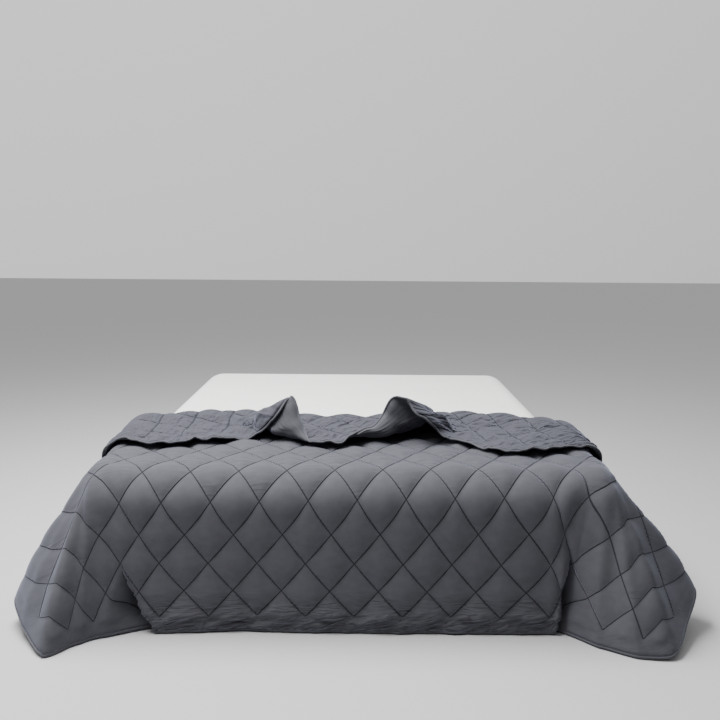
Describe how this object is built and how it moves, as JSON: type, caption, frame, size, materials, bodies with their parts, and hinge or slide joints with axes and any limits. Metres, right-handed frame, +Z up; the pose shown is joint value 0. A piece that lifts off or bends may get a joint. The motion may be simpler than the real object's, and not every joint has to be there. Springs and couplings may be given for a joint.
{
  "type": "quilted blanket on a bed",
  "caption": "Charcoal diamond-quilted blanket thrown over the foot of a plain bed, hanging to the floor with flared corners and its head end turned back.",
  "frame": {"origin": "centre of the footprint, on the floor", "axes": "+X across the bed, to the right of someone standing at its foot and facing it; +Y from the foot of the bed to its head; +Z up"},
  "size_m": [1.9984, 2.2512, 0.6221],
  "materials": {
    "quilt_fabric": "brushed microfibre, dark grey",
    "binding_fabric": "woven tape, mid grey",
    "mattress_cover": "plain knitted ticking, off-white",
    "base_cover": "plain woven cover, off-white"
  },
  "bodies": {
    "root": {"quilt": "quilt_fabric", "edge_binding": "binding_fabric", "mattress": "mattress_cover", "bed_base": "base_cover"}
  },
  "joints": []
}
